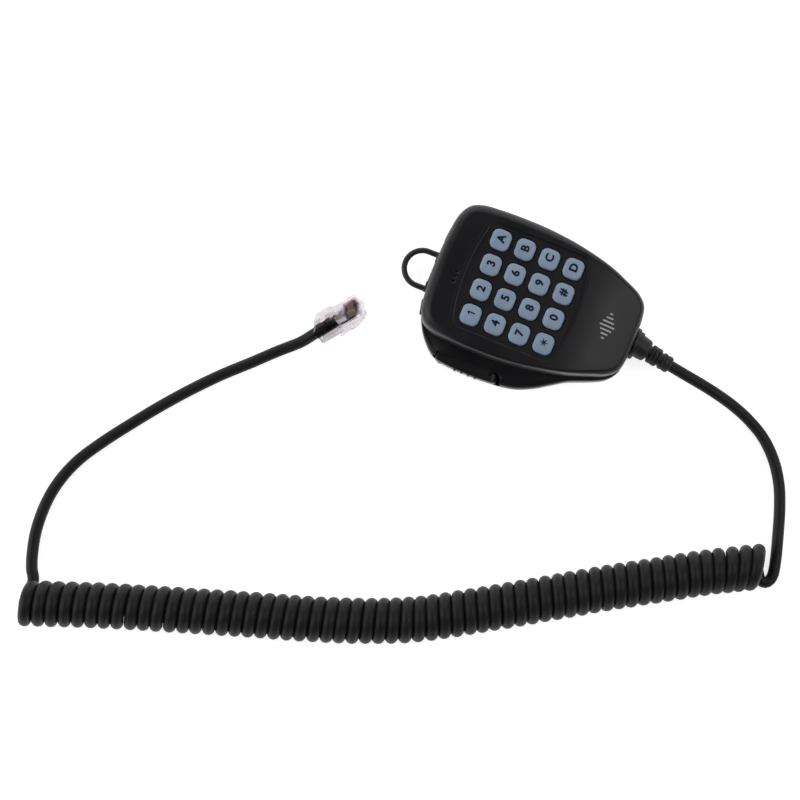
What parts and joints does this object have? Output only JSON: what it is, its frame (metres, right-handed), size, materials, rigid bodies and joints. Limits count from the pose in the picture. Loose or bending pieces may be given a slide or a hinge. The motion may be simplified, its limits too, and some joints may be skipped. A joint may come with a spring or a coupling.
{
  "type": "hand microphone",
  "caption": "Hand-held radio microphone with a numeric keypad, side talk button, hanger ring and a curly cord ending in a clear modular plug.",
  "frame": {"origin": "middle of the footprint of the microphone without its cord, on the surface that it lies on, back down", "axes": "+Z out of the keypad, +Y towards the hanger ring, -X the side with the talk button"},
  "size_m": [0.229, 0.2922, 0.0285],
  "materials": {
    "body": "fine moulded texture, black",
    "key_plastic": "blue-grey keys with darker printed characters",
    "black_rubber": "matte",
    "relief_rubber": "satin, slightly dusty",
    "cord_sheath": "satin cord sheath",
    "contact_film": "amber film with printed contacts",
    "board": "green solder mask",
    "chip": "moulded chip body with tinned legs",
    "capacitor_sleeve": "shrunk sleeve with an aluminium top",
    "lamp_film": "pale film with green lamps",
    "nylon": "natural nylon",
    "capsule_metal": "drawn can",
    "felt": "black felt",
    "steel": "bright turned steel",
    "screw_steel": "plated screw",
    "dark_steel": "blackened wire, rubbed where it swings",
    "switch_plastic": "moulded switch body",
    "wire_insulation": "coloured wire insulation",
    "clear_plastic": "clear polycarbonate",
    "contact_gold": "gold-flashed contacts"
  },
  "bodies": {
    "housing": {"front_cover": "body", "rear_cover": "body", "keypad_mat": "black_rubber", "capsule_boot": "black_rubber", "strain_relief": "relief_rubber", "contact_sheet": "contact_film", "main_circuit_board": "board", "talk_switch_board": "board", "top_button_board": "board", "encoder_chip": "chip", "filter_capacitor": "capacitor_sleeve", "backlight_strip": "lamp_film", "cord_connector": "nylon", "microphone_capsule": "capsule_metal", "port_felt": "felt", "talk_pivot_pin": "steel", "cord_clamp": "steel", "talk_switch": "switch_plastic", "up_switch": "switch_plastic", "down_switch": "switch_plastic", "hanger_pin": "dark_steel", "cord_tail": "cord_sheath", "cord_mic_lead": "cord_sheath", "cord_coil": "cord_sheath", "cord_plug_lead": "cord_sheath", "wire_harness": "wire_insulation", "plug_housing": "clear_plastic", "plug_contacts": "contact_gold", "cover_screw_1": "screw_steel", "board_screw_1": "screw_steel", "cover_screw_2": "screw_steel", "board_screw_2": "screw_steel", "cover_screw_3": "screw_steel", "board_screw_3": "screw_steel", "cover_screw_4": "screw_steel", "board_screw_4": "screw_steel"},
    "key_1": {"key_1": "key_plastic"},
    "key_2": {"key_2": "key_plastic"},
    "key_3": {"key_3": "key_plastic"},
    "key_a": {"key_a": "key_plastic"},
    "key_4": {"key_4": "key_plastic"},
    "key_5": {"key_5": "key_plastic"},
    "key_6": {"key_6": "key_plastic"},
    "key_b": {"key_b": "key_plastic"},
    "key_7": {"key_7": "key_plastic"},
    "key_8": {"key_8": "key_plastic"},
    "key_9": {"key_9": "key_plastic"},
    "key_c": {"key_c": "key_plastic"},
    "key_star": {"key_star": "key_plastic"},
    "key_0": {"key_0": "key_plastic"},
    "key_hash": {"key_hash": "key_plastic"},
    "key_d": {"key_d": "key_plastic"},
    "talk_button": {"talk_button": "body"},
    "talk_plunger": {"talk_plunger": "nylon"},
    "up_button": {"up_button": "body"},
    "down_button": {"down_button": "body"},
    "hanger_ring": {"hanger_ring": "dark_steel"},
    "plug_latch": {"plug_latch": "clear_plastic"}
  },
  "joints": [
    {"name": "key_1_press", "type": "slide", "parent": "housing", "child": "key_1", "axis": [0, 0, -1], "range_m": [0, 0.0008], "stiffness_N_per_m": 500},
    {"name": "key_2_press", "type": "slide", "parent": "housing", "child": "key_2", "axis": [0, 0, -1], "range_m": [0, 0.0008], "stiffness_N_per_m": 500},
    {"name": "key_3_press", "type": "slide", "parent": "housing", "child": "key_3", "axis": [0, 0, -1], "range_m": [0, 0.0008], "stiffness_N_per_m": 500},
    {"name": "key_a_press", "type": "slide", "parent": "housing", "child": "key_a", "axis": [0, 0, -1], "range_m": [0, 0.0008], "stiffness_N_per_m": 500},
    {"name": "key_4_press", "type": "slide", "parent": "housing", "child": "key_4", "axis": [0, 0, -1], "range_m": [0, 0.0008], "stiffness_N_per_m": 500},
    {"name": "key_5_press", "type": "slide", "parent": "housing", "child": "key_5", "axis": [0, 0, -1], "range_m": [0, 0.0008], "stiffness_N_per_m": 500},
    {"name": "key_6_press", "type": "slide", "parent": "housing", "child": "key_6", "axis": [0, 0, -1], "range_m": [0, 0.0008], "stiffness_N_per_m": 500},
    {"name": "key_b_press", "type": "slide", "parent": "housing", "child": "key_b", "axis": [0, 0, -1], "range_m": [0, 0.0008], "stiffness_N_per_m": 500},
    {"name": "key_7_press", "type": "slide", "parent": "housing", "child": "key_7", "axis": [0, 0, -1], "range_m": [0, 0.0008], "stiffness_N_per_m": 500},
    {"name": "key_8_press", "type": "slide", "parent": "housing", "child": "key_8", "axis": [0, 0, -1], "range_m": [0, 0.0008], "stiffness_N_per_m": 500},
    {"name": "key_9_press", "type": "slide", "parent": "housing", "child": "key_9", "axis": [0, 0, -1], "range_m": [0, 0.0008], "stiffness_N_per_m": 500},
    {"name": "key_c_press", "type": "slide", "parent": "housing", "child": "key_c", "axis": [0, 0, -1], "range_m": [0, 0.0008], "stiffness_N_per_m": 500},
    {"name": "key_star_press", "type": "slide", "parent": "housing", "child": "key_star", "axis": [0, 0, -1], "range_m": [0, 0.0008], "stiffness_N_per_m": 500},
    {"name": "key_0_press", "type": "slide", "parent": "housing", "child": "key_0", "axis": [0, 0, -1], "range_m": [0, 0.0008], "stiffness_N_per_m": 500},
    {"name": "key_hash_press", "type": "slide", "parent": "housing", "child": "key_hash", "axis": [0, 0, -1], "range_m": [0, 0.0008], "stiffness_N_per_m": 500},
    {"name": "key_d_press", "type": "slide", "parent": "housing", "child": "key_d", "axis": [0, 0, -1], "range_m": [0, 0.0008], "stiffness_N_per_m": 500},
    {"name": "talk_press", "type": "hinge", "parent": "housing", "child": "talk_button", "pos_m": [-0.03005, 0.02937, 0.0066], "axis": [0, 0, 1], "range_deg": [0, 4], "stiffness_Nm_per_rad": 0.5},
    {"name": "talk_plunger_press", "type": "slide", "parent": "housing", "child": "talk_plunger", "axis": [1, 0, 0], "range_m": [0, 0.00143]},
    {"name": "up_button_press", "type": "slide", "parent": "housing", "child": "up_button", "axis": [0, -1, 0], "range_m": [0, 0.0006], "stiffness_N_per_m": 500},
    {"name": "down_button_press", "type": "slide", "parent": "housing", "child": "down_button", "axis": [0, -1, 0], "range_m": [0, 0.0006], "stiffness_N_per_m": 500},
    {"name": "hanger_ring_swing", "type": "hinge", "parent": "housing", "child": "hanger_ring", "pos_m": [0.0012, 0.04597, 0.006], "axis": [1, 0, 0], "range_deg": [0, 80]},
    {"name": "plug_latch_bend", "type": "hinge", "parent": "housing", "child": "plug_latch", "pos_m": [-0.02513, 0.06537, 0.01212], "axis": [0.6054, 0.2661, -0.7501], "range_deg": [0, 10], "stiffness_Nm_per_rad": 0.3}
  ],
  "couplings": [
    {"joint": "talk_plunger_press", "follows": "talk_press", "m_per_rad": 0.0204}
  ]
}
